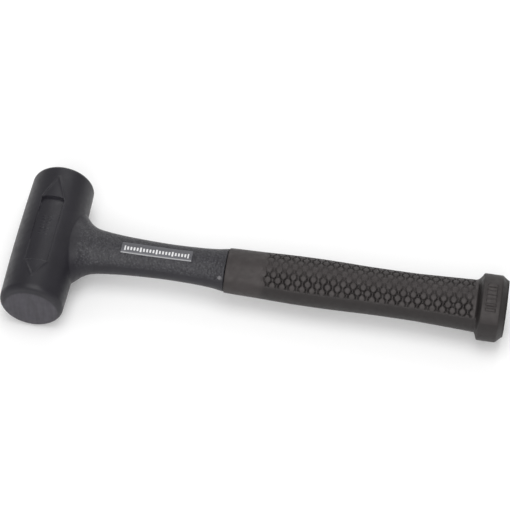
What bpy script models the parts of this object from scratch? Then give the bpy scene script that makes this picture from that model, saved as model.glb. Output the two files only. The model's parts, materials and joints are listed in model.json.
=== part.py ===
"""Dead blow mallet, 45 mm head.

A polyurethane moulding makes the head, the neck and the core of the handle. Its head encloses a steel canister
of loose shot, and a steel rod welded to the canister runs down the handle. A rubber grip with a butt knob is
moulded over the core, and a foil label sits in a shallow recess on the neck.

The mallet lies on its side: +X runs down the handle from the head to the butt, +Y along the head and +Z up.
The origin is under the middle of the mallet, on the surface that the head rests on. Lengths are in metres.
"""

import math

import bmesh
import bpy
from mathutils import Euler, Vector

MM = 0.001
GAP = 0.3 * MM  # clearance between neighbouring pieces

# Head: a turned barrel with its axis along Y.
HEAD_RADIUS = 22.5 * MM
HEAD_HALF_LENGTH = 55.5 * MM
HEAD_TAPER = 0.7 * MM  # how much slimmer the barrel is at its ends
EDGE_RADIUS = 4.0 * MM
FACE_CROWN = 0.7 * MM  # how far the striking face stands out of its rim
FACE_FLAT_RADIUS = 9.0 * MM

# Distances along the handle are measured from the head's axis.
BUTT_END = 318.0 * MM
SEAM = 125.3 * MM  # where the neck ends and the grip starts
CORE_END = 288.0 * MM
HEAD_X = (HEAD_RADIUS - BUTT_END) / 2
AXIS_Z = HEAD_RADIUS

# Stations of the neck and the grip: distance, half width along Y and half thickness along Z, in millimetres.
NECK_STATIONS = (
    (10.0, 36.0, 17.0),
    (18.0, 32.5, 15.0),
    (22.5, 27.6, 14.3),
    (28.0, 20.9, 13.6),
    (34.0, 17.2, 13.1),
    (48.0, 14.9, 12.3),
    (62.0, 13.7, 11.9),
    (84.0, 12.95, 11.45),
    (104.0, 13.5, 11.4),
    (116.0, 14.4, 11.8),
    (125.3, 16.0, 12.7),
)
GRIP_STATIONS = (
    (125.6, 16.3, 13.1),
    (132.0, 16.7, 13.4),
    (148.0, 17.2, 13.9),
    (166.0, 17.8, 14.4),
    (184.0, 18.1, 14.6),
    (204.0, 17.9, 14.5),
    (222.0, 17.5, 14.1),
    (240.0, 17.4, 14.0),
    (256.0, 17.5, 14.1),
    (272.0, 18.1, 14.6),
    (288.0, 18.8, 15.2),
    (296.9, 19.2, 15.5),
)
CORE_WIDTH, CORE_THICKNESS = 13.2 * MM, 10.6 * MM  # half sizes of the handle's core
KNOB_WIDTH, KNOB_THICKNESS = 23.4 * MM, 19.6 * MM  # half sizes of the butt knob
KNOB_START = 300.2 * MM
KNOB_CHAMFER = 4.6 * MM
KNOB_EDGE = 0.8 * MM  # rounding between the knob's band and its shoulders
OVAL = 2.0  # exponent of an elliptical section
SQUARED_OVAL = 2.3  # exponent of the knob's fuller section
OVAL_POINTS = 40
HEAD_STEPS = 48
SMALL_STEPS = 32

# Canister, rod and socket, all steel.
CANISTER_RADIUS = 17.5 * MM
CANISTER_BORE = 16.0 * MM
TUBE_HALF_LENGTH = 43.0 * MM
CAP_FLANGE = 2.0 * MM
CAP_SPIGOT = 3.0 * MM
ROD_RADIUS = 5.0 * MM
ROD_END = 284.0 * MM
ROD_CHAMFER = 0.8 * MM
SOCKET_RADIUS = 9.0 * MM
SOCKET_END = 34.0 * MM

# Shot: balls in layers across the canister, two, three and two to a layer.
BALL_RADIUS = 5.0 * MM
BALL_PITCH = 2 * BALL_RADIUS + GAP
BALL_LAYERS = 6

# Foil label in its recess on the upper side of the neck.
LABEL_MIDDLE = 77.0 * MM
LABEL_LENGTH, LABEL_WIDTH = 49.0 * MM, 8.6 * MM
LABEL_PROUD, LABEL_SUNK = 0.1 * MM, 0.3 * MM

BLACK_URETHANE = ("black_polyurethane", (0.040, 0.040, 0.043), 0.55, 0.0)
BLACK_RUBBER = ("black_rubber", (0.044, 0.042, 0.042), 0.70, 0.0)
GREY_FOIL = ("grey_foil", (0.16, 0.16, 0.165), 0.40, 0.6)
TUBE_STEEL = ("drawn_steel", (0.42, 0.42, 0.43), 0.35, 1.0)
ROD_STEEL = ("bright_steel", (0.50, 0.50, 0.51), 0.30, 1.0)
SHOT_STEEL = ("shot_steel", (0.30, 0.30, 0.31), 0.30, 1.0)

ALONG_Y = Euler((-math.pi / 2, 0, 0))
AGAINST_Y = Euler((math.pi / 2, 0, 0))
ALONG_X = Euler((0, math.pi / 2, 0))


def on_handle(distance, across=0.0, above=0.0):
    """The point at this distance from the head's axis, off the handle's axis by across and above."""
    return Vector((HEAD_X + distance, across, AXIS_Z + above))


def material(name, colour, roughness, metallic):
    found = bpy.data.materials.get(name)
    if found:
        return found
    made = bpy.data.materials.new(name)
    made.use_nodes = True
    shader = made.node_tree.nodes["Principled BSDF"]
    shader.inputs["Base Color"].default_value = (*colour, 1.0)
    shader.inputs["Roughness"].default_value = roughness
    shader.inputs["Metallic"].default_value = metallic
    return made


def make_object(name, mesh, collection, finish=None):
    """An object from a mesh. Without a finish it is a helper, hidden from renders."""
    made = bpy.data.objects.new(name, mesh)
    collection.objects.link(made)
    if finish:
        mesh.materials.append(material(*finish))
    else:
        made.hide_render = True
        made.display_type = "WIRE"
    return made


def mesh_from(bm, name, sharp_above=35):
    """The bmesh as a mesh, smooth except at edges sharper than the angle in degrees."""
    bmesh.ops.recalc_face_normals(bm, faces=bm.faces)
    mesh = bpy.data.meshes.new(name)
    bm.to_mesh(mesh)
    bm.free()
    mesh.shade_smooth()
    mesh.set_sharp_from_angle(angle=math.radians(sharp_above))
    return mesh


def turned(name, profile, steps, collection, finish=None, closed=False):
    """A turned piece about its own Z axis. The profile holds (radius, height) pairs down the outer side."""
    mesh = bpy.data.meshes.new(name)
    edges = [(i, i + 1) for i in range(len(profile) - 1)]
    if closed:
        edges.append((len(profile) - 1, 0))
    mesh.from_pydata([(radius, 0, height) for radius, height in profile], edges, [])
    made = make_object(name, mesh, collection, finish)
    screw = made.modifiers.new("turn", "SCREW")
    screw.steps = screw.render_steps = steps
    screw.use_merge_vertices = True
    screw.merge_threshold = 0.00001
    screw.use_smooth_shade = True
    return made


def boolean(target, cutter, operation="DIFFERENCE"):
    modifier = target.modifiers.new(cutter.name, "BOOLEAN")
    modifier.operation = operation
    modifier.solver = "EXACT"
    modifier.object = cutter


def place(obj, location, rotation=None):
    obj.location = location
    if rotation:
        obj.rotation_euler = rotation
    return obj


def smooth_value(places, values, x):
    """The value at x on a smooth curve through the places: a cubic between the two on either side of x."""
    last = len(places) - 1
    i = max(0, min(last - 1, sum(place <= x for place in places) - 1))
    step = places[i + 1] - places[i]
    t = (x - places[i]) / step

    def rise(k):
        low, high = max(k - 1, 0), min(k + 1, last)
        return (values[high] - values[low]) / (places[high] - places[low]) * step

    near = (2 * t**3 - 3 * t**2 + 1) * values[i] + (t**3 - 2 * t**2 + t) * rise(i)
    far = (3 * t**2 - 2 * t**3) * values[i + 1] + (t**3 - t**2) * rise(i + 1)
    return near + far


def smooth_size(stations, distance):
    """Half width and half thickness at a distance from the head's axis."""
    distances, widths, thicknesses = zip(*stations)
    return [smooth_value(distances, sizes, distance / MM) * MM for sizes in (widths, thicknesses)]


def between(start, end, pieces):
    return [start + (end - start) * i / pieces for i in range(pieces + 1)]


def oval(distance, width, thickness, exponent):
    """Points of one closed section across the handle, a superellipse."""
    points = []
    for i in range(OVAL_POINTS):
        c, s = math.cos(2 * math.pi * i / OVAL_POINTS), math.sin(2 * math.pi * i / OVAL_POINTS)
        y = math.copysign(abs(c) ** (2 / exponent), c) * width
        z = math.copysign(abs(s) ** (2 / exponent), s) * thickness
        points.append(on_handle(distance, y, z))
    return points


def loft(name, sections):
    """A closed mesh through sections given as (distance, half width, half thickness, exponent)."""
    bm = bmesh.new()
    rings = [[bm.verts.new(point) for point in oval(*section)] for section in sections]
    for near, far in zip(rings, rings[1:]):
        for i in range(OVAL_POINTS):
            j = (i + 1) % OVAL_POINTS
            bm.faces.new((near[i], near[j], far[j], far[i]))
    bm.faces.new(rings[0])
    bm.faces.new(rings[-1])
    return mesh_from(bm, name)


def barrel_profile():
    """The head's outline, from the middle of one striking face down to the middle of the other."""
    end_radius = HEAD_RADIUS - HEAD_TAPER
    rim = HEAD_HALF_LENGTH - FACE_CROWN
    half = [(0.0, HEAD_HALF_LENGTH), (FACE_FLAT_RADIUS, HEAD_HALF_LENGTH)]
    slope_width = end_radius - EDGE_RADIUS - FACE_FLAT_RADIUS
    half += [(FACE_FLAT_RADIUS + slope_width * k, HEAD_HALF_LENGTH - FACE_CROWN * k**2) for k in (0.5, 1.0)]
    for i in range(1, 6):
        turn = math.pi / 2 * i / 5
        across = end_radius - EDGE_RADIUS + EDGE_RADIUS * math.sin(turn)
        half.append((across, rim - EDGE_RADIUS + EDGE_RADIUS * math.cos(turn)))
    for share in (0.75, 0.5, 0.25):
        half.append((HEAD_RADIUS - HEAD_TAPER * share**2, (rim - EDGE_RADIUS) * share))
    lower = [(radius, -height) for radius, height in reversed(half)]
    return half + [(HEAD_RADIUS, 0.0)] + lower


def canister_reach():
    """How far the canister reaches from the middle of the head, over its caps."""
    return TUBE_HALF_LENGTH + GAP + CAP_FLANGE


def label_patch(name, length, width, low, high):
    """A curved slab on the upper side of the neck, between two offsets from the neck's surface."""
    along, across = 16, 6
    bm = bmesh.new()
    layers = []
    for offset in (low, high):
        grid = []
        for x in between(LABEL_MIDDLE - length / 2, LABEL_MIDDLE + length / 2, along):
            half_width, half_thickness = smooth_size(NECK_STATIONS, x)
            row = []
            for y in between(-width / 2, width / 2, across):
                z = half_thickness * math.sqrt(1 - (y / half_width) ** 2)
                row.append(bm.verts.new(on_handle(x, y, z + offset)))
            grid.append(row)
        layers.append(grid)
        for i in range(along):
            for j in range(across):
                bm.faces.new((grid[i][j], grid[i + 1][j], grid[i + 1][j + 1], grid[i][j + 1]))
    rims = []
    for grid in layers:
        rim = [row[0] for row in grid] + grid[-1][1:] + [row[-1] for row in grid[-2::-1]]
        rims.append(rim + grid[0][-2:0:-1])
    lower, upper = rims
    for i in range(len(lower)):
        j = (i + 1) % len(lower)
        bm.faces.new((lower[i], lower[j], upper[j], upper[i]))
    return mesh_from(bm, name)


def make_casing(parts, helpers):
    """Head, neck and handle core in one moulding, hollowed for the canister, its socket and the rod."""
    casing = turned("casing", barrel_profile(), HEAD_STEPS, parts, BLACK_URETHANE)
    place(casing, on_handle(0), ALONG_Y)
    flare = between(10.0 * MM, 34.0 * MM, 10) + between(40.0 * MM, SEAM, 11)
    sections = [(x, *smooth_size(NECK_STATIONS, x), OVAL) for x in flare]
    sections += [(x, CORE_WIDTH, CORE_THICKNESS, OVAL) for x in (SEAM, CORE_END)]
    boolean(casing, make_object("neck_and_core", loft("neck_and_core", sections), helpers), "UNION")

    reach, radius = canister_reach() + GAP, CANISTER_RADIUS + GAP
    pocket = turned(
        "canister_pocket", [(0, reach), (radius, reach), (radius, -reach), (0, -reach)], HEAD_STEPS, helpers
    )
    boolean(casing, place(pocket, on_handle(0), ALONG_Y))
    socket, bore = SOCKET_RADIUS + GAP, ROD_RADIUS + GAP
    step, past = SOCKET_END + GAP, CORE_END + 2 * MM
    drilled = turned(
        "rod_hole", [(0, past), (bore, past), (bore, step), (socket, step), (socket, 0), (0, 0)],
        SMALL_STEPS, helpers,
    )
    boolean(casing, place(drilled, on_handle(0), ALONG_X))
    recess = label_patch(
        "label_recess", LABEL_LENGTH + 2 * GAP, LABEL_WIDTH + 2 * GAP, -LABEL_SUNK - GAP, 2 * MM
    )
    boolean(casing, make_object("label_recess", recess, helpers))


def make_grip(parts, helpers):
    """Rubber sleeve over the core, closed at its end by the butt knob."""
    front, back = GRIP_STATIONS[0][0] * MM, GRIP_STATIONS[-1][0] * MM
    sections = [(x, *smooth_size(GRIP_STATIONS, x), OVAL) for x in between(front, back, 20)]
    band_end = BUTT_END - KNOB_CHAMFER
    knob = (
        (KNOB_START, KNOB_EDGE),
        (KNOB_START + KNOB_EDGE, 0.0),
        (band_end, 0.0),
        (BUTT_END, KNOB_CHAMFER),
    )
    sections += [(x, KNOB_WIDTH - drop, KNOB_THICKNESS - drop, SQUARED_OVAL) for x, drop in knob]
    grip = make_object("grip", loft("grip", sections), parts, BLACK_RUBBER)
    hollow = [(x, CORE_WIDTH + GAP, CORE_THICKNESS + GAP, OVAL) for x in (SEAM - 2 * MM, CORE_END + GAP)]
    boolean(grip, make_object("core_pocket", loft("core_pocket", hollow), helpers))


def make_canister(parts, helpers):
    """Steel tube with a cap pressed into each end, and the socket that joins it to the rod."""
    outer, bore, half = CANISTER_RADIUS, CANISTER_BORE, TUBE_HALF_LENGTH
    tube = turned(
        "canister_tube", [(outer, half), (outer, -half), (bore, -half), (bore, half)],
        HEAD_STEPS, parts, TUBE_STEEL, closed=True,
    )
    place(tube, on_handle(0), ALONG_Y)

    spigot = bore - GAP
    top, step, bottom = canister_reach(), half + GAP, half - CAP_SPIGOT
    profile = [(0, top), (outer, top), (outer, step), (spigot, step), (spigot, bottom), (0, bottom)]
    for name, turn in (("canister_cap_near", AGAINST_Y), ("canister_cap_far", ALONG_Y)):
        place(turned(name, profile, HEAD_STEPS, parts, TUBE_STEEL), on_handle(0), turn)

    sleeve, hole, start = SOCKET_RADIUS, ROD_RADIUS + GAP, CANISTER_BORE - 4 * MM
    socket = turned(
        "rod_socket", [(sleeve, SOCKET_END), (sleeve, start), (hole, start), (hole, SOCKET_END)],
        SMALL_STEPS, parts, ROD_STEEL, closed=True,
    )
    place(socket, on_handle(0), ALONG_X)
    cope = turned(
        "socket_cope", [(0, half), (outer + GAP, half), (outer + GAP, -half), (0, -half)], HEAD_STEPS, helpers
    )
    boolean(socket, place(cope, on_handle(0), ALONG_Y))


def make_rod(parts):
    """Steel rod from the canister to near the butt, with chamfered ends."""
    start, end = CANISTER_RADIUS + 2 * GAP, ROD_END
    neck = ROD_RADIUS - ROD_CHAMFER
    profile = [(0, end), (neck, end), (ROD_RADIUS, end - ROD_CHAMFER)]
    profile += [(ROD_RADIUS, start + ROD_CHAMFER), (neck, start), (0, start)]
    place(turned("handle_rod", profile, SMALL_STEPS, parts, ROD_STEEL), on_handle(0), ALONG_X)


def make_label(parts):
    patch = label_patch("label", LABEL_LENGTH, LABEL_WIDTH, -LABEL_SUNK, LABEL_PROUD)
    make_object("label", patch, parts, GREY_FOIL)


def ball_places():
    """Centres of the balls about the middle of the charge: the end layers have slumped and lack their top row."""
    reach = CANISTER_BORE - BALL_RADIUS - GAP
    lowest = -math.sqrt(reach**2 - (BALL_PITCH / 2) ** 2)
    row_rise = BALL_PITCH * math.sqrt(3) / 2
    places = []
    for layer in range(BALL_LAYERS):
        y = (layer - (BALL_LAYERS - 1) / 2) * BALL_PITCH
        slumped = layer in (0, BALL_LAYERS - 1)
        for row, count in enumerate((2, 3) if slumped else (2, 3, 2)):
            for i in range(count):
                places.append(Vector(((i - (count - 1) / 2) * BALL_PITCH, y, lowest + row * row_rise)))
    return places


def make_shot(parts):
    """The loose charge. Its balls hang on one empty, on the axis that the charge slides along."""
    charge = bpy.data.objects.new("shot_charge_axis", None)
    parts.objects.link(charge)
    charge.location = on_handle(0)
    bm = bmesh.new()
    bmesh.ops.create_icosphere(bm, subdivisions=2, radius=BALL_RADIUS)
    ball = mesh_from(bm, "shot_ball", sharp_above=60)
    ball.materials.append(material(*SHOT_STEEL))
    for number, centre in enumerate(ball_places(), start=1):
        made = bpy.data.objects.new(f"shot_ball_{number:02d}", ball)
        parts.objects.link(made)
        made.parent = charge
        made.location = centre


def main():
    for obj in list(bpy.data.objects):
        bpy.data.objects.remove(obj, do_unlink=True)
    parts = bpy.data.collections.new("dead_blow_mallet")
    helpers = bpy.data.collections.new("cutters")
    for collection in (parts, helpers):
        bpy.context.scene.collection.children.link(collection)
    make_casing(parts, helpers)
    make_grip(parts, helpers)
    make_canister(parts, helpers)
    make_rod(parts)
    make_label(parts)
    make_shot(parts)


main()
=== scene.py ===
"""Looks of the dead blow mallet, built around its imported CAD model.

The casing, the grip and the label get finely meshed skins in place of their plain CAD solids, and every
piece gets a procedural material. Shapes are worked out in millimetres from the middle of the head: u down
the handle, v along the head and w up. Everything is placed in the CAD's frame, in metres.
"""

import json
import math

import bpy
import numpy as np
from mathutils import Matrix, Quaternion, Vector


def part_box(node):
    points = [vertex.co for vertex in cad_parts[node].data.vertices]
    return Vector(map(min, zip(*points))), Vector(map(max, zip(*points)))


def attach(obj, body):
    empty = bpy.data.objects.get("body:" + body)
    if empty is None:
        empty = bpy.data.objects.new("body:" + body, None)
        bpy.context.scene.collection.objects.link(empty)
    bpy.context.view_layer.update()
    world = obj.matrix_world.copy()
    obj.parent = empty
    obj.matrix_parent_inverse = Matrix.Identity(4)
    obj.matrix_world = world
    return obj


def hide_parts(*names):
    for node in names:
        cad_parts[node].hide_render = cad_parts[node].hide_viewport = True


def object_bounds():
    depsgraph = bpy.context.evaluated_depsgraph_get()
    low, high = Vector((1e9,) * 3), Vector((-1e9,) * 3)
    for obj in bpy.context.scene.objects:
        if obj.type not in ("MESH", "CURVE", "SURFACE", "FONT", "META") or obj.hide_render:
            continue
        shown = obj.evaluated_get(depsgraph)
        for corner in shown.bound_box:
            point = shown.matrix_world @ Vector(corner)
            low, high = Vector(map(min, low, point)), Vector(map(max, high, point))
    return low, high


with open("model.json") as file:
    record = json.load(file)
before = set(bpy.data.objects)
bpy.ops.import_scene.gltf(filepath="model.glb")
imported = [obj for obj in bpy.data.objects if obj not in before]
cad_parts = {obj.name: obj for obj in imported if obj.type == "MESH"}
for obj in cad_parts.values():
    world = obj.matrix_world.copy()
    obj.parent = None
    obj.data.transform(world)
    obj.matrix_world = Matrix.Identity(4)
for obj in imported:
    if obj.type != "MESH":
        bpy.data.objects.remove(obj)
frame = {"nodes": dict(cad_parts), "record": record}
cad_low, cad_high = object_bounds()
MM = 0.001

# The CAD's own places: the head's barrel, the seam between neck and grip, the butt and the label.
casing_low, casing_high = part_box("casing")
grip_low, grip_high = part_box("grip")
label_low, label_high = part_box("label")
HEAD_RADIUS = (casing_high.z - casing_low.z) / 2 / MM
HEAD_HALF_LENGTH = casing_high.y / MM
HEAD_CENTRE = Vector((casing_low.x + HEAD_RADIUS * MM, 0, casing_low.z + HEAD_RADIUS * MM))
GAP = 0.3
GRIP_START = (grip_low.x - HEAD_CENTRE.x) / MM
SEAM = GRIP_START - GAP
BUTT_END = (grip_high.x - HEAD_CENTRE.x) / MM
LABEL_MIDDLE = ((label_low.x + label_high.x) / 2 - HEAD_CENTRE.x) / MM
LABEL_LENGTH = (label_high.x - label_low.x) / MM
LABEL_WIDTH = (label_high.y - label_low.y) / MM

# Head, as in the CAD.
HEAD_TAPER = 0.7
EDGE_RADIUS = 4.0
FACE_CROWN = 0.7
FACE_FLAT_RADIUS = 9.0
CREASE_RADIUS = 0.5  # fillet where the neck leaves the head
WORN_RADIUS, WORN_DROP = 18.4, 3.4  # a striking face's scuffed patch, and how far below the middle it is
WORN_EDGE = (0.9, -0.7)  # how far outside its radius the scuffing starts, and where it is full
WORN_REACH = (3.2, 2.2)  # how far from the head's end it starts, and where it is full

# Surface of the neck.
SEAM_EDGE = 0.5  # rounding at the seam with the grip
GRAIN_START = (1.0, 6.0)  # distance from the head over which the grain comes in
GRAIN_SIDES = (14, 22)  # degrees from the narrow edges over which it comes in
GRAIN_END = (0.4, 1.5)  # distance from the seam over which it comes in
GATE_PLACE, GATE_RADIUS = (122.3, -12.8, 7.0), 1.1  # the mould gate's torn pip
GATE_FILLET, GATE_RIM = 0.3, 0.4

# Stations of the neck and the grip: distance, half width along v and half thickness along w. They are the
# CAD's, but the grip's first two stand 0.2 to 0.3 mm prouder.
NECK_STATIONS = (
    (10.0, 36.0, 17.0),
    (18.0, 32.5, 15.0),
    (22.5, 27.6, 14.3),
    (28.0, 20.9, 13.6),
    (34.0, 17.2, 13.1),
    (48.0, 14.9, 12.3),
    (62.0, 13.7, 11.9),
    (84.0, 12.95, 11.45),
    (104.0, 13.5, 11.4),
    (116.0, 14.4, 11.8),
    (125.3, 16.0, 12.7),
)
GRIP_STATIONS = (
    (125.6, 16.6, 13.4),
    (132.0, 16.9, 13.6),
    (148.0, 17.2, 13.9),
    (166.0, 17.8, 14.4),
    (184.0, 18.1, 14.6),
    (204.0, 17.9, 14.5),
    (222.0, 17.5, 14.1),
    (240.0, 17.4, 14.0),
    (256.0, 17.5, 14.1),
    (272.0, 18.1, 14.6),
    (288.0, 18.8, 15.2),
    (296.9, 19.2, 15.5),
)
KNOB_WIDTH, KNOB_THICKNESS = 23.4, 19.6
KNOB_START = 300.6
KNOB_CHAMFER = 4.6
OVAL, KNOB_SQUARENESS = 2.0, 0.3  # a superellipse's exponent along the grip, and what the knob adds to it
SQUARING = (-4, 1)  # from the knob's start, over which that is added
KNOB_EDGES = (1.0, 0.6)  # rounding between the shoulder and the band, and between the band and the chamfer
SHOULDER_STEEPNESS = 2.0
SHOULDER_FILLETS = (1.0, 6.0)  # where the grip meets the knob: most of the way round, and on its +v edge
SWEPT_SIDE = (0.3, 0.9)  # sine of the turn from the crest over which the wider fillet comes in
UNDERCUT_PLACE, UNDERCUT_WIDTH, UNDERCUT_DEPTH = 298.7, 0.8, 1.0  # groove at the knob's foot, off that edge, with painted shade in it
UNDERCUT_FADE = 2.0  # girth either side of the plain strip's edge over which it fades out
CORE_WIDTH, CORE_THICKNESS, CORE_END = 13.2, 10.6, 288.0
MOUTH = 1.0  # from the seam to the second row of the pocket that the core fills
SLEEVE_LIP = 0.6  # rounding of the sleeve's end

# The double-ended arrow on the head's upper side: a sunk panel, and at each end a point outlined by a ridge.
ARROW_MIDDLE, ARROW_HALF_WIDTH = -0.7, 7.8
PANEL_NEAR, PANEL_FAR = -30.5, 25.4
ARROW_TIP = 44.3
PANEL_DEPTHS = (0.55, 1.8)  # along most of it, and at its far end
PANEL_DIP = 6  # how late the panel dips towards that end, as a power
PANEL_WALL = 0.22  # half the width of the slope at the panel's edge
RIDGE_HEIGHT, RIDGE_WIDTH = 0.45, 0.65
RIDGE_START, RIDGE_END = (-0.2, 0.3), (0.9, -0.2)  # its fades, past the panel's end and past the tip
BAR_PITCH, BAR_HEIGHT, BARS_END = 2.6, 0.4, 9.1  # short plain bars in the middle of the panel
BAR_SIDES = (0.3, 0.6)  # cosines between which a bar's side rises
BAR_INNER, BAR_OUTER = (0.5, 0.9), (3.6, 3.2)  # its ends' slopes, as distances from the arrow's middle
BARS_FADE = 0.4

# Scales of the grip: chains of round pads run round it, joined along each chain by thin necks.
CHAINS, CHAIN_PITCH = 42, 3.4225
FIRST_CHAIN = 152.0
PAD_PITCH = 7.92  # along a chain
PAD_HALF_WIDTH, PAD_HALF_LENGTH, PAD_ROUNDNESS = 2.05, 2.3, 1.8
PAD_DROP = 0.15  # how far a pad's edge is below its middle
NECK_HALF_WIDTH, NECK_DROP = 0.3, 0.05
WALL = 0.35  # width of the slope from a pad or a neck to the floor between them
SCALE_DEPTH, CREST_SHARE = 1.0, 0.4  # on the flanks, and the share of it along the crests
FLANK_START, FLANK_FULL = 1.5, 9.5  # girth from the crest between which the scales deepen
NECK_END = 3.0  # from a pad's middle to where its neck has risen, past the moat round the pad
SCALES_START, SCALES_END = (-1.0, 1.2), (0.3, -0.3)  # fades, in chains from the first and past the last
PLAIN_STRIP = 7.9  # girth from the grip's narrow edge to where the scales end
STRIP_SLOPE = (0.5, -0.7)  # girth past the strip's edge over which the scales come in
KNOB_RIBS, KNOB_RIB_PITCH, KNOB_RIB_HEIGHT = 7, 3.2, 0.9
KNOB_RIBS_MIDDLE = -5.0  # across the knob
KNOB_RIB_SIDES, KNOB_RIB_ENDS = (0.30, 0.18), (3.6, 3.0)  # slopes: in pitches, and along the handle

# How dark the rubber is, from 0 on a pad to 1 down in a groove, and the distances over which that comes in.
# It is painted shade, but for the darker tone of the knob's band round its lighter ribs.
STRIP_PAINTED_SHADE, KNOB_PAINTED_SHADE, BAND_SHADE = 0.8, 0.85, 0.35  # painted shade on the plain strip and on the knob's slopes, and the band's darker tone
STRIP_PAINTED_SHADE_EDGE, STRIP_PAINTED_SHADE_START = (-0.9, 0.5), (-3, 3)  # painted shade on the strip: from the strip's edge and the first chain
SHOULDER_PAINTED_SHADE_START, SHOULDER_PAINTED_SHADE_END = (-4, -2), (1.5, 0)  # painted shade on the knob's shoulder: from the knob's start
CHAMFER_PAINTED_SHADE_START, BAND_SHADE_START = (-0.6, 0.4), (-1, 1)  # painted shade on the chamfer, and the band's darker tone: from the chamfer's and the knob's start

# The label: where its middle line runs, its edges and its print.
LABEL_SHIFT, LABEL_SLOPE = -1.25, 0.019
LABEL_PROUD, LABEL_SUNK = 0.1, 0.3
LABEL_RIM, LABEL_RIM_DROP = 0.15, 0.08
LABEL_GRID = (246, 44)
TICK_PITCH, TICKS_PER_GROUP = 2.2, 5
TICK_SIDES = (0.32, 0.24)  # in pitches
TICK_REACHES, TICK_MIDDLE, TICK_FADE = (1.9, 1.35), -0.6, 0.2  # half lengths of the tall and the short ones
TICKS_MARGIN = (2, 2.4)  # from the label's ends
LABEL_LINE, LABEL_LINE_INK = (0.75, 0.6), 0.3  # pale line along the near edge

# Where the camera stands: the direction that it looks from, its roll, its distance in metres, and its aim.
CAMERA_AZIMUTH, CAMERA_ELEVATION, CAMERA_ROLL = 7.49, 51.61, 2.2
CAMERA_DISTANCE = 1.531
CAMERA_AIM = Vector((-5.41, 17.44, -1.01))  # millimetres from the middle of the object's box
CAMERA_LENS, CAMERA_SENSOR = 156.2, 36.0

# The white surroundings, and the soft lights: name, azimuth, elevation and watts.
WORLD_STRENGTH = 0.48
LIGHTS = (("front", 0, 37, 8.8), ("high", 0, 65, 4.4), ("top", 0, 89, 7.2), ("back", 180, 35, 4.4))
LIGHT_DISTANCE, LIGHT_SIZE = 1.6, 1.0  # metres
FLOOR_REACH = 6.0  # metres

# How finely the skins are meshed.
SKIN_PITCH = 0.6  # grid of the casing's skin
NET_PASSES, SLOPE_FLOOR = 5, 0.1  # moves of its points on to the surface, and the least slope trusted
SHARP_ANGLE = 50  # degrees between faces that keep a hard edge
GRIP_TURNS = 186  # points round the grip's skin
PLAIN_STEP, SCALE_STEP, KNOB_STEP, LIP_STEPS = 1.1, 0.35, 0.36, 4  # its rows
BEFORE_SCALES, BEFORE_KNOB = 4, 4  # how far before them their finer rows start
QUARTER_STEPS = 90  # of the table of girth


def smooth(stations, column, u):
    """A column of the stations at u, on a smooth curve through them."""
    table = np.array(stations)
    places, values = table[:, 0], table[:, column]
    slopes = np.gradient(values, places)
    slopes[1:-1] = (values[2:] - values[:-2]) / (places[2:] - places[:-2])
    i = np.clip(np.searchsorted(places, u, side="right") - 1, 0, len(places) - 2)
    step = places[i + 1] - places[i]
    t = np.clip((u - places[i]) / step, 0, 1)
    near = (2 * t**3 - 3 * t**2 + 1) * values[i] + (t**3 - 2 * t**2 + t) * step * slopes[i]
    return near + (3 * t**2 - 2 * t**3) * values[i + 1] + (t**3 - t**2) * step * slopes[i + 1]


def ease(low, high, x):
    """0 below low, 1 above high and a smooth step between."""
    t = np.clip((x - low) / (high - low), 0, 1)
    return t * t * (3 - 2 * t)


def both(a, b, radius):
    """Distance to what two shapes share, with the edge between them rounded."""
    return np.minimum(np.maximum(a, b) + radius, 0) + np.hypot(
        np.maximum(a + radius, 0), np.maximum(b + radius, 0)
    ) - radius


def joined(a, b, radius):
    """Distance to two shapes together, with a fillet between them."""
    return np.maximum(np.minimum(a, b), radius) - np.hypot(
        np.maximum(radius - a, 0), np.maximum(radius - b, 0)
    )


# ---- The casing: a distance field, and a net of quads drawn over its surface ----


def barrel(u, v, w):
    """Distance to the head's barrel with its crowned faces and rounded edges."""
    radius, half = np.hypot(u, w), np.abs(v)
    straight = HEAD_HALF_LENGTH - FACE_CROWN - EDGE_RADIUS
    slope_end = HEAD_RADIUS - HEAD_TAPER - EDGE_RADIUS
    side = radius - HEAD_RADIUS + HEAD_TAPER * np.minimum(half / straight, 1) ** 2
    share = np.clip((radius - FACE_FLAT_RADIUS) / (slope_end - FACE_FLAT_RADIUS), 0, 1)
    return both(side, half - HEAD_HALF_LENGTH + FACE_CROWN * share**2, EDGE_RADIUS)


def neck(u, v, w):
    """Distance to the neck, an oval that flares into the head and ends at the seam."""
    width, thickness = smooth(NECK_STATIONS, 1, u), smooth(NECK_STATIONS, 2, u)
    share = np.hypot(v / width, w / thickness)
    side = share * (share - 1) / np.maximum(np.hypot(v / width**2, w / thickness**2), 1e-6)
    return np.maximum(both(side, u - SEAM, SEAM_EDGE), NECK_STATIONS[0][0] - u)


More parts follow.
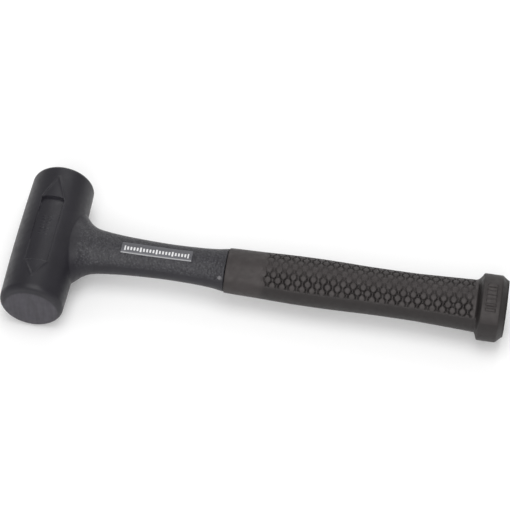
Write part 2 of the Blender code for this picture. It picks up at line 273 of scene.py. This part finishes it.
def arrow_relief(u, v):
    """How far the arrow is sunk below the barrel, negative where it stands proud."""
    across = np.abs(u - ARROW_MIDDLE)
    outside = np.maximum(across - ARROW_HALF_WIDTH, np.maximum(v - PANEL_FAR, PANEL_NEAR - v))
    near, far = PANEL_DEPTHS
    depth = near + (far - near) * np.clip((v - PANEL_NEAR) / (PANEL_FAR - PANEL_NEAR), 0, 1) ** PANEL_DIP
    bar = ease(*BAR_SIDES, np.cos(2 * np.pi * v / BAR_PITCH)) * ease(*BAR_OUTER, across)
    bar = bar * ease(*BAR_INNER, across) * ease(BARS_END, BARS_END - BARS_FADE, np.abs(v))
    sunk = (depth - BAR_HEIGHT * bar) * ease(PANEL_WALL, -PANEL_WALL, outside)
    base = np.where(v > 0, PANEL_FAR, -PANEL_NEAR)
    slant = np.hypot(ARROW_TIP - base, ARROW_HALF_WIDTH)
    past_edge = (across * (ARROW_TIP - base) + (np.abs(v) - ARROW_TIP) * ARROW_HALF_WIDTH) / slant
    ridge = np.exp(-((past_edge / RIDGE_WIDTH) ** 2)) * ease(*RIDGE_START, np.abs(v) - base)
    ridge = ridge * ease(*RIDGE_END, np.abs(v) - ARROW_TIP)
    return sunk - RIDGE_HEIGHT * ridge


def label_line(u):
    """Where the label's middle runs: a little towards -v of the neck's crest, and a little askew."""
    return LABEL_SHIFT + LABEL_SLOPE * (u - LABEL_MIDDLE)


def casing(u, v, w):
    """Distance to the outside of the casing, negative inside."""
    head, stem = barrel(u, v, w) + arrow_relief(u, v) * (w > 0), neck(u, v, w)
    whole = joined(head, stem, CREASE_RADIUS)
    gate = np.sqrt(sum((x - middle) ** 2 for x, middle in zip((u, v, w), GATE_PLACE))) - GATE_RADIUS
    whole = joined(whole, gate, GATE_FILLET)
    off_label = np.abs(v - label_line(u)) - LABEL_WIDTH / 2
    patch = np.maximum(np.abs(u - LABEL_MIDDLE) - LABEL_LENGTH / 2, off_label) - GAP
    return np.maximum(whole, np.minimum(np.minimum(-patch, w), stem + GAP))


def slopes_of(field, points):
    """The field's value and its gradient at each point."""
    step = 0.01
    value = field(*points.T)
    rises = [field(*(points + step * axis).T) - value for axis in np.eye(3)]
    return value, np.stack(rises, axis=1) / step


def net_over(field, low, high, pitch):
    """Points and quads of the surface where a field is zero, one point to each grid cell that it crosses."""
    axes = [np.arange(start, end + pitch, pitch) for start, end in zip(low, high)]
    inside = field(*np.meshgrid(*axes, indexing="ij", sparse=True)) < 0
    count = np.zeros([n - 1 for n in inside.shape], np.int8)
    for corner in np.ndindex(2, 2, 2):
        count += inside[tuple(slice(k, n - 1 + k) for k, n in zip(corner, inside.shape))]
    crossed = (count > 0) & (count < 8)
    number = np.full(crossed.shape, -1)
    number[crossed] = np.arange(crossed.sum())
    points = np.array(low) + (np.argwhere(crossed) + 0.5) * pitch
    quads = []
    for axis in range(3):
        nodes, cells = np.moveaxis(inside, axis, 0), np.moveaxis(number, axis, 0)
        near, far = nodes[:-1, 1:-1, 1:-1], nodes[1:, 1:-1, 1:-1]
        i, j, k = np.nonzero(near != far)
        corners = ((j, k), (j + 1, k), (j + 1, k + 1), (j, k + 1))
        around = np.stack([cells[i, b, c] for b, c in corners], axis=1)
        forward = near[i, j, k] != (axis == 1)
        quads.append(np.where(forward[:, None], around, around[:, ::-1]))
    for _ in range(NET_PASSES):
        value, slope = slopes_of(field, points)
        move = (value / np.maximum((slope**2).sum(axis=1), SLOPE_FLOOR))[:, None] * slope
        points -= np.clip(move, -pitch, pitch)
    return points, np.concatenate(quads)


def make_mesh(name, points, faces, attributes=()):
    """An object from points in millimetres about the head's middle, with values stored at its points."""
    mesh = bpy.data.meshes.new(name)
    places = np.array(HEAD_CENTRE) + np.asarray(points) * MM
    mesh.from_pydata(places.tolist(), [], faces)
    for title, values in attributes:
        mesh.attributes.new(title, "FLOAT", "POINT").data.foreach_set("value", values.astype(np.float32))
    mesh.shade_smooth()
    mesh.set_sharp_from_angle(angle=math.radians(SHARP_ANGLE))
    made = bpy.data.objects.new(name, mesh)
    bpy.context.scene.collection.objects.link(made)
    return made


def make_casing_skin():
    margin = 2 * SKIN_PITCH
    low = (-HEAD_RADIUS - margin, -HEAD_HALF_LENGTH - margin, -HEAD_RADIUS - margin)
    high = (SEAM + margin, HEAD_HALF_LENGTH + margin, HEAD_RADIUS + margin)
    points, quads = net_over(casing, low, high, SKIN_PITCH)
    u, v, w = points.T
    angle = np.degrees(np.arctan2(np.abs(w), np.abs(v)))
    grain = ease(*GRAIN_START, barrel(u, v, w)) * ease(*GRAIN_SIDES, angle) * ease(*GRAIN_END, SEAM - u)
    worn = ease(*WORN_REACH, HEAD_HALF_LENGTH - np.abs(v))
    worn = worn * ease(*WORN_EDGE, np.hypot(u, w + WORN_DROP) - WORN_RADIUS)
    torn = ease(GATE_RIM, 0, np.linalg.norm(points - np.array(GATE_PLACE), axis=1) - GATE_RADIUS)
    attributes = [("grain", grain), ("worn", worn), ("torn", torn)]
    return make_mesh("casing_skin", points, quads.tolist(), attributes)


# ---- The grip: rows of points down the handle, pushed in between its scales ----


def blend_max(a, b, radius):
    """The larger of the two, with the bend between them smoothed."""
    return np.maximum(a, b) + np.maximum(radius - np.abs(a - b), 0) ** 2 / (4 * radius)


def grip_size(u, column, knob_size, fillet):
    """Half width or half thickness of the grip and its knob."""
    shoulder = SHOULDER_STEEPNESS * (KNOB_START - u)
    chamfer = u - (BUTT_END - KNOB_CHAMFER)
    shoulder_edge, chamfer_edge = KNOB_EDGES
    knob = knob_size - blend_max(blend_max(shoulder, 0 * u, shoulder_edge), chamfer, chamfer_edge)
    return blend_max(smooth(GRIP_STATIONS, column, u), knob, fillet)


def ring(width, thickness, exponent, turn):
    """Across and above, for the points of a superellipse. The turn starts at the crest."""
    across, above = np.sin(turn), np.cos(turn)
    power = 2 / exponent
    return (
        np.copysign(np.abs(across) ** power, across) * width,
        np.copysign(np.abs(above) ** power, above) * thickness,
    )


def girth(width, thickness, across, above):
    """Length round an oval section from the nearer crest to each point, and to its narrow edge."""
    fine = np.linspace(0, np.pi / 2, QUARTER_STEPS + 1)
    run = np.hypot(width * np.cos(fine), thickness * np.sin(fine))
    steps = (run[:, 1:] + run[:, :-1]) / 2 * fine[1]
    length = np.concatenate([np.zeros_like(run[:, :1]), np.cumsum(steps, axis=1)], axis=1)
    turn = np.arctan2(np.abs(across) / width, np.abs(above) / thickness)
    place = turn / fine[1]
    i = np.minimum(place.astype(int), len(fine) - 2)
    low, high = np.take_along_axis(length, i, 1), np.take_along_axis(length, i + 1, 1)
    return low + (high - low) * (place - i), length[:, -1:]


def scale_depth(u, around, quarter):
    """Depth of the scales' relief at a distance down the handle and round it from the crest."""
    place = (u - FIRST_CHAIN) / CHAIN_PITCH
    depth = np.full(np.broadcast(u, around).shape, SCALE_DEPTH)
    for step in (-1, 0, 1):
        chain = np.clip(np.round(place) + step, -1, CHAINS)
        along = place - chain
        along = np.where(chain < 0, np.maximum(along, 0), along)
        along = np.where(chain == CHAINS, np.minimum(along, 0), along) * CHAIN_PITCH
        across = around / PAD_PITCH - chain % 2 / 2
        across = (across - np.round(across)) * PAD_PITCH
        along, across = np.abs(along), np.abs(across)
        share = (along / PAD_HALF_WIDTH) ** PAD_ROUNDNESS + (across / PAD_HALF_LENGTH) ** PAD_ROUNDNESS
        share = share ** (1 / PAD_ROUNDNESS)
        wall = WALL / PAD_HALF_WIDTH
        pad = PAD_DROP * np.minimum(share, 1) ** 2 + (SCALE_DEPTH - PAD_DROP) * ease(1, 1 + wall, share)
        beside = ease(NECK_HALF_WIDTH, NECK_HALF_WIDTH + WALL, along)
        moat = ease(NECK_END, PAD_HALF_LENGTH, across)
        neck = NECK_DROP + (SCALE_DEPTH - NECK_DROP) * np.maximum(beside, moat)
        depth = np.minimum(depth, np.minimum(pad, neck))
    depth = depth * ease(*SCALES_START, place) * ease(*SCALES_END, place - CHAINS)
    depth = depth * (CREST_SHARE + (1 - CREST_SHARE) * ease(FLANK_START, FLANK_FULL, around))
    return depth * ease(*STRIP_SLOPE, around - quarter + PLAIN_STRIP)


def knob_ribs(u, across):
    """1 on the short plain ribs across the knob's band, on its broad sides, and 0 elsewhere."""
    place = (across - KNOB_RIBS_MIDDLE) / KNOB_RIB_PITCH
    rib = ease(*KNOB_RIB_SIDES, np.abs(place - np.round(place))) * (np.abs(place) < KNOB_RIBS / 2)
    middle = (KNOB_START + BUTT_END - KNOB_CHAMFER) / 2
    return rib * ease(*KNOB_RIB_ENDS, np.abs(u - middle))


def rubber_painted_shade_and_tone(u, around, quarter, depth, undercut, ribs):
    """How dark the grip's rubber is, 0 to 1: painted shade down in its grooves and its undercut, on its
    plain strips and on the knob's shoulder and chamfer, and a darker tone on the knob's band round its ribs.
    """
    # Painted shade along the plain strips, on both narrow edges.
    off_strip = around - quarter + PLAIN_STRIP
    strip = ease(*STRIP_PAINTED_SHADE_EDGE, off_strip) * ease(*STRIP_PAINTED_SHADE_START, u - FIRST_CHAIN)
    # Painted shade on the knob's shoulder and on its end chamfer.
    shoulder = ease(*SHOULDER_PAINTED_SHADE_START, u - KNOB_START) * ease(*SHOULDER_PAINTED_SHADE_END, u - KNOB_START)
    chamfer = ease(*CHAMFER_PAINTED_SHADE_START, u - BUTT_END + KNOB_CHAMFER)
    band = ease(*BAND_SHADE_START, u - KNOB_START) * (1 - ribs)
    painted_shade_and_tone = np.maximum(STRIP_PAINTED_SHADE * strip, KNOB_PAINTED_SHADE * np.maximum(shoulder, chamfer))
    # Painted shade down in the grooves and in the undercut at the knob's foot.
    return np.maximum.reduce([painted_shade_and_tone, depth / SCALE_DEPTH, undercut, BAND_SHADE * band])


def make_grip_skin():
    turn = np.arange(GRIP_TURNS) / GRIP_TURNS * 2 * np.pi
    fine_start, knob_start = FIRST_CHAIN - BEFORE_SCALES, KNOB_START - BEFORE_KNOB
    places = [
        GRIP_START + SLEEVE_LIP * np.arange(LIP_STEPS) / LIP_STEPS,
        np.arange(GRIP_START + SLEEVE_LIP, fine_start, PLAIN_STEP),
        np.arange(fine_start, knob_start, SCALE_STEP),
        np.arange(knob_start, BUTT_END, KNOB_STEP),
        [BUTT_END],
    ]
    u = np.concatenate(places)[:, None]
    to_lip = np.clip(GRIP_START + SLEEVE_LIP - u, 0, SLEEVE_LIP)
    inset = SLEEVE_LIP - np.sqrt(SLEEVE_LIP**2 - to_lip**2)
    swept = ease(*SWEPT_SIDE, np.sin(turn))
    tight, wide = SHOULDER_FILLETS
    fillet = tight + (wide - tight) * swept
    width = grip_size(u, 1, KNOB_WIDTH, fillet) - inset
    thickness = grip_size(u, 2, KNOB_THICKNESS, fillet) - inset
    exponent = OVAL + KNOB_SQUARENESS * ease(*SQUARING, u - KNOB_START)
    across, above = ring(width, thickness, exponent, turn)
    around, quarter = girth(smooth(GRIP_STATIONS, 1, u), smooth(GRIP_STATIONS, 2, u), across, above)

    depth = scale_depth(u, around, quarter)
    ribs = knob_ribs(u, across)
    undercut = np.exp(-(((u - UNDERCUT_PLACE) / UNDERCUT_WIDTH) ** 2)) * (1 - swept)
    undercut = undercut * ease(UNDERCUT_FADE, -UNDERCUT_FADE, around - quarter + PLAIN_STRIP)
    lift = KNOB_RIB_HEIGHT * ribs - depth - UNDERCUT_DEPTH * undercut
    out_v, out_w = across / width**2, above / thickness**2
    lift = lift / np.hypot(out_v, out_w)
    outside = np.stack([u + 0 * across, across + lift * out_v, above + lift * out_w], axis=-1)

    pocket = np.array([CORE_END + GAP, SEAM + MOUTH, GRIP_START])[:, None]
    inner = ring(CORE_WIDTH + GAP, CORE_THICKNESS + GAP, OVAL, turn)
    inside = np.stack([pocket + 0 * turn, inner[0] + 0 * pocket, inner[1] + 0 * pocket], axis=-1)
    points = np.concatenate([inside, outside])
    # The rubber's painted shade, and the darker tone of the knob's band.
    painted_shade_and_tone = rubber_painted_shade_and_tone(u, around, quarter, depth, undercut, ribs)
    painted_shade_and_tone = np.concatenate([np.zeros(inside.shape[:2]), painted_shade_and_tone])

    first = np.arange(len(points) - 1)[:, None] * GRIP_TURNS + np.arange(GRIP_TURNS)
    second = np.roll(first, -1, axis=1)
    quads = np.stack([first, second, second + GRIP_TURNS, first + GRIP_TURNS], axis=-1).reshape(-1, 4)
    last = (len(points) - 1) * GRIP_TURNS
    caps = [list(range(GRIP_TURNS))[::-1], list(range(last, last + GRIP_TURNS))]
    return make_mesh("grip_skin", points.reshape(-1, 3), quads.tolist() + caps, [("painted_shade_and_tone", painted_shade_and_tone.ravel())])


# ---- The label: a foil strip with a row of printed ticks ----


def label_ink(u, v):
    """How much white is printed at each point: a row of ticks, every fifth one taller, and a pale line."""
    place = (u - LABEL_MIDDLE) / TICK_PITCH
    number = np.round(place)
    reach = np.where(number % TICKS_PER_GROUP == 0, *TICK_REACHES)
    tick = ease(*TICK_SIDES, np.abs(place - number))
    tick = tick * ease(reach, reach - TICK_FADE, np.abs(v - TICK_MIDDLE))
    tick = tick * ease(*TICKS_MARGIN, LABEL_LENGTH / 2 - np.abs(u - LABEL_MIDDLE))
    return np.maximum(tick, LABEL_LINE_INK * ease(*LABEL_LINE, v + LABEL_WIDTH / 2))


def make_label_skin():
    along = np.linspace(-LABEL_LENGTH / 2, LABEL_LENGTH / 2, LABEL_GRID[0]) + LABEL_MIDDLE
    across = np.linspace(-LABEL_WIDTH / 2, LABEL_WIDTH / 2, LABEL_GRID[1])
    u, height = np.meshgrid(along, across, indexing="ij")
    v = height + label_line(u)
    width, thickness = smooth(NECK_STATIONS, 1, u), smooth(NECK_STATIONS, 2, u)
    surface = thickness * np.sqrt(1 - (v / width) ** 2)
    edge = np.minimum(LABEL_LENGTH / 2 - np.abs(u - LABEL_MIDDLE), LABEL_WIDTH / 2 - np.abs(height))
    top = surface + LABEL_PROUD - LABEL_RIM_DROP * ease(LABEL_RIM, 0, edge)
    sides = [np.stack([u, v, w], axis=-1).reshape(-1, 3) for w in (top, surface - LABEL_SUNK)]
    number = np.arange(u.size).reshape(u.shape)
    corners = (number[:-1, :-1], number[1:, :-1], number[1:, 1:], number[:-1, 1:])
    sheet = np.stack(corners, axis=-1).reshape(-1, 4)
    rim = np.concatenate([number[:-1, 0], number[-1, :-1], number[:0:-1, -1], number[0, :0:-1]])
    after = np.roll(rim, -1)
    walls = np.stack([rim, rim + u.size, after + u.size, after], axis=-1)
    faces = np.concatenate([sheet, sheet[:, ::-1] + u.size, walls])
    ink = np.tile(label_ink(u, height).ravel(), 2)
    return make_mesh("label_skin", np.concatenate(sides), faces.tolist(), [("ink", ink)])


# ---- Materials ----


def add(tree, kind, inputs=None, **settings):
    """A shader node with its settings, and its inputs given as values or as other nodes' outputs."""
    made = tree.nodes.new("ShaderNode" + kind)
    for name, value in settings.items():
        setattr(made, name, value)
    for name, value in (inputs or {}).items():
        if isinstance(value, bpy.types.NodeSocket):
            tree.links.new(value, made.inputs[name])
        else:
            made.inputs[name].default_value = value
    return made


def new_material(name):
    """A material's node tree, its Principled BSDF and the piece's own coordinates in metres."""
    made = bpy.data.materials.new(name)
    made.use_nodes = True
    tree = made.node_tree
    return made, tree, tree.nodes["Principled BSDF"], add(tree, "TexCoord").outputs["Object"]


def noise(tree, where, scale, detail=3.0, stretch=(1, 1, 1)):
    """Cloudy noise, 0 to 1, with this many lumps to the metre."""
    mapped = add(tree, "Mapping", {"Vector": where, "Scale": stretch}).outputs["Vector"]
    return add(tree, "TexNoise", {"Vector": mapped, "Scale": scale, "Detail": detail}).outputs["Fac"]


def ranged(tree, value, low, high, to_low, to_high):
    """A value's part from low to high, spread from to_low to to_high."""
    inputs = {"Value": value, "From Min": low, "From Max": high, "To Min": to_low, "To Max": to_high}
    return add(tree, "MapRange", inputs).outputs["Result"]


def maths(tree, operation, a, b):
    return add(tree, "Math", {0: a, 1: b}, operation=operation).outputs["Value"]


def mixed(tree, share, a, b):
    """Two colours mixed by a share."""
    made = add(tree, "Mix", data_type="RGBA")
    sockets = [s for s in made.inputs if s.enabled]
    for socket, value in zip(sockets, (share, a, b)):
        if isinstance(value, bpy.types.NodeSocket):
            tree.links.new(value, socket)
        else:
            socket.default_value = value if isinstance(value, float) else (*value, 1.0)
    return next(s for s in made.outputs if s.enabled)


def link(tree, shader, **sockets):
    for name, socket in sockets.items():
        tree.links.new(socket, shader.inputs[name.replace("_", " ")])


def stored(tree, name):
    """A value stored at the mesh's points."""
    return add(tree, "Attribute", attribute_name=name).outputs["Fac"]


def bump(tree, height, depth, under=None):
    """A bump normal from a height of 0 to 1, this deep in metres."""
    inputs = {"Height": height, "Distance": depth, "Strength": 1.0}
    if under is not None:
        inputs["Normal"] = under
    return add(tree, "Bump", inputs).outputs["Normal"]


def urethane():
    """Black cast polyurethane: satin, pebbled on the neck with painted highlights on the pebbles, scuffed on
    the worn faces, pale where torn.
    """
    made, tree, shader, where = new_material("urethane_black")
    grain, worn = stored(tree, "grain"), stored(tree, "worn")
    cloud = ranged(tree, noise(tree, where, 60, 4.0), 0.35, 0.65, 0.0, 1.0)
    smooth_base = mixed(tree, cloud, (0.0098, 0.0088, 0.0130), (0.0128, 0.0116, 0.0165))
    inputs = {"Vector": where, "Scale": 620.0, "Smoothness": 0.6}
    cells = add(tree, "TexVoronoi", inputs, feature="SMOOTH_F1")
    pebbles = ranged(tree, cells.outputs["Distance"], 0.1, 0.75, 1.0, 0.0)
    # Lighter pebble middles: painted highlight on the pebbles.
    pebble_base_painted_highlight = mixed(tree, pebbles, (0.014, 0.0133, 0.0170), (0.030, 0.0285, 0.0350))
    # Pale speckles on the grain: painted glints.
    painted_glints = ranged(tree, noise(tree, where, 700, 3.0), 0.54, 0.78, 0.0, 1.0)
    neck_base_painted_highlights = mixed(tree, painted_glints, pebble_base_painted_highlight, (0.064, 0.064, 0.069))
    scuffs = ranged(tree, noise(tree, where, 400, 4.0, (1, 1, 0.12)), 0.35, 0.7, 0.0, 1.0)
    face_base = mixed(tree, scuffs, (0.041, 0.038, 0.046), (0.059, 0.055, 0.066))
    base = mixed(tree, worn, mixed(tree, grain, smooth_base, neck_base_painted_highlights), face_base)
    link(tree, shader, Base_Color=mixed(tree, stored(tree, "torn"), base, (0.16, 0.155, 0.165)))
    sheen = ranged(tree, noise(tree, where, 220), 0.3, 0.7, 0.40, 0.52)
    link(tree, shader, Roughness=maths(tree, "ADD", sheen, maths(tree, "MULTIPLY", worn, 0.15)))
    fine = bump(tree, noise(tree, where, 2600, 2.0), 0.000012)
    link(tree, shader, Normal=bump(tree, maths(tree, "MULTIPLY", pebbles, grain), 0.00022, fine))
    shader.inputs["Specular IOR Level"].default_value = 0.40
    return made


def rubber():
    """Black soft rubber: matte and a little warm, with painted shade down in the grooves, along the plain
    strips and on the knob's slopes.
    """
    made, tree, shader, where = new_material("rubber_black")
    painted_shade_and_tone = stored(tree, "painted_shade_and_tone")
    cloud = ranged(tree, noise(tree, where, 140, 4.0), 0.35, 0.65, 0.0, 1.0)
    base = mixed(tree, cloud, (0.0215, 0.0179, 0.0178), (0.0290, 0.0246, 0.0246))
    # The dark colour mixed in by the stored value is painted shade.
    link(tree, shader, Base_Color=mixed(tree, painted_shade_and_tone, base, (0.006, 0.005, 0.0051)))
    link(tree, shader, Roughness=ranged(tree, noise(tree, where, 300), 0.3, 0.7, 0.46, 0.6))
    link(tree, shader, Normal=bump(tree, noise(tree, where, 1500, 3.0), 0.00003))
    shader.inputs["Specular IOR Level"].default_value = 0.46
    shader.inputs["Specular Tint"].default_value = (1.0, 0.95, 0.94, 1.0)
    return made


def foil():
    """Dark grey metallised foil, finely brushed along its length, with the printed ticks in white."""
    made, tree, shader, where = new_material("foil_grey")
    ink = stored(tree, "ink")
    streaks = noise(tree, where, 900, 2.0, (0.08, 1, 1))
    brushed = ranged(tree, streaks, 0.3, 0.7, 0.0, 1.0)
    base = mixed(tree, brushed, (0.078, 0.078, 0.086), (0.115, 0.115, 0.126))
    link(tree, shader, Base_Color=mixed(tree, ink, base, (0.68, 0.68, 0.69)))
    link(tree, shader, Metallic=ranged(tree, ink, 0.0, 1.0, 0.45, 0.0))
    link(tree, shader, Roughness=ranged(tree, streaks, 0.3, 0.7, 0.38, 0.5))
    link(tree, shader, Normal=bump(tree, streaks, 0.000006))
    return made


def steel(name, colour, roughness, stretch):
    """Steel with fine drawing marks along one axis, or an even dull skin where the stretch is even."""
    made, tree, shader, where = new_material(name)
    marks = noise(tree, where, 1800, 3.0, stretch)
    dull = noise(tree, where, 90, 3.0)
    darker = tuple(0.75 * part for part in colour)
    link(tree, shader, Base_Color=mixed(tree, ranged(tree, dull, 0.3, 0.7, 0.0, 1.0), darker, colour))
    link(tree, shader, Roughness=ranged(tree, marks, 0.3, 0.7, roughness, roughness + 0.15))
    link(tree, shader, Normal=bump(tree, marks, 0.000008))
    shader.inputs["Metallic"].default_value = 1.0
    return made


# ---- The set: floor, light and camera ----


def make_floor():
    mesh = bpy.data.meshes.new("floor")
    turned = ((-1, -1), (1, -1), (1, 1), (-1, 1))
    corners = [(x * FLOOR_REACH, y * FLOOR_REACH, cad_low.z) for x, y in turned]
    mesh.from_pydata(corners, [], [(0, 1, 2, 3)])
    floor = bpy.data.objects.new("floor", mesh)
    bpy.context.scene.collection.objects.link(floor)
    made, tree, shader, where = new_material("floor_white")
    link(tree, shader, Base_Color=mixed(tree, noise(tree, where, 3), (0.86, 0.86, 0.86), (0.9, 0.9, 0.9)))
    shader.inputs["Roughness"].default_value = 0.9
    shader.inputs["Specular IOR Level"].default_value = 0.1
    shader.inputs["Emission Color"].default_value = (1.0, 1.0, 1.0, 1.0)
    shader.inputs["Emission Strength"].default_value = 0.12
    mesh.materials.append(made)


def direction(azimuth, elevation):
    """From the object towards a viewer: azimuth 0 is the -Y side, 90 the +X side."""
    a, e = math.radians(azimuth), math.radians(elevation)
    return Vector((math.sin(a) * math.cos(e), -math.cos(a) * math.cos(e), math.sin(e)))


def make_light(name, azimuth, elevation, power):
    data = bpy.data.lights.new(name, "AREA")
    data.shape = "DISK"
    data.size = LIGHT_SIZE
    data.energy = power
    light = bpy.data.objects.new(name, data)
    back = direction(azimuth, elevation)
    light.location = (cad_low + cad_high) / 2 + back * LIGHT_DISTANCE
    light.rotation_euler = back.to_track_quat("Z", "Y").to_euler()
    bpy.context.scene.collection.objects.link(light)


def make_world(strength):
    world = bpy.data.worlds.new("soft_surroundings")
    world.use_nodes = True
    background = world.node_tree.nodes["Background"]
    background.inputs["Color"].default_value = (1.0, 1.0, 1.0, 1.0)
    background.inputs["Strength"].default_value = strength
    bpy.context.scene.world = world


def make_camera():
    data = bpy.data.cameras.new("camera")
    data.sensor_width = CAMERA_SENSOR
    data.lens = CAMERA_LENS
    data.clip_end = 20.0
    camera = bpy.data.objects.new("camera", data)
    back = direction(CAMERA_AZIMUTH, CAMERA_ELEVATION)
    aim = (cad_low + cad_high) / 2 + CAMERA_AIM * MM
    camera.location = aim + back * CAMERA_DISTANCE
    camera.rotation_mode = "QUATERNION"
    level = (-back).to_track_quat("-Z", "Y")
    camera.rotation_quaternion = level @ Quaternion((0, 0, 1), math.radians(CAMERA_ROLL))
    bpy.context.scene.collection.objects.link(camera)
    bpy.context.scene.camera = camera


def dress():
    """Skins in place of the plain solids, and a material on every piece."""
    skins = (
        (make_casing_skin, "casing", "urethane", urethane),
        (make_grip_skin, "grip", "grip_rubber", rubber),
        (make_label_skin, "label", "foil", foil),
    )
    for make, node, slot, finish in skins:
        skin = make()
        skin.data.materials.append(finish())
        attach(skin, "mallet")
        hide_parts(node)
    finishes = {
        "canister_steel": steel("steel_drawn", (0.42, 0.42, 0.43), 0.32, (1, 0.05, 1)),
        "rod_steel": steel("steel_bright", (0.50, 0.50, 0.51), 0.25, (0.05, 1, 1)),
        "shot_steel": steel("steel_shot", (0.30, 0.30, 0.31), 0.30, (1, 1, 1)),
    }
    for part in frame["record"]["subparts"]:
        if part["material_slot"] in finishes:
            inside = frame["nodes"][part["node"]]
            inside.data.materials.clear()
            inside.data.materials.append(finishes[part["material_slot"]])


bpy.context.scene.view_settings.view_transform = "Standard"
dress()
make_floor()
make_world(WORLD_STRENGTH)
for light in LIGHTS:
    make_light(*light)
make_camera()
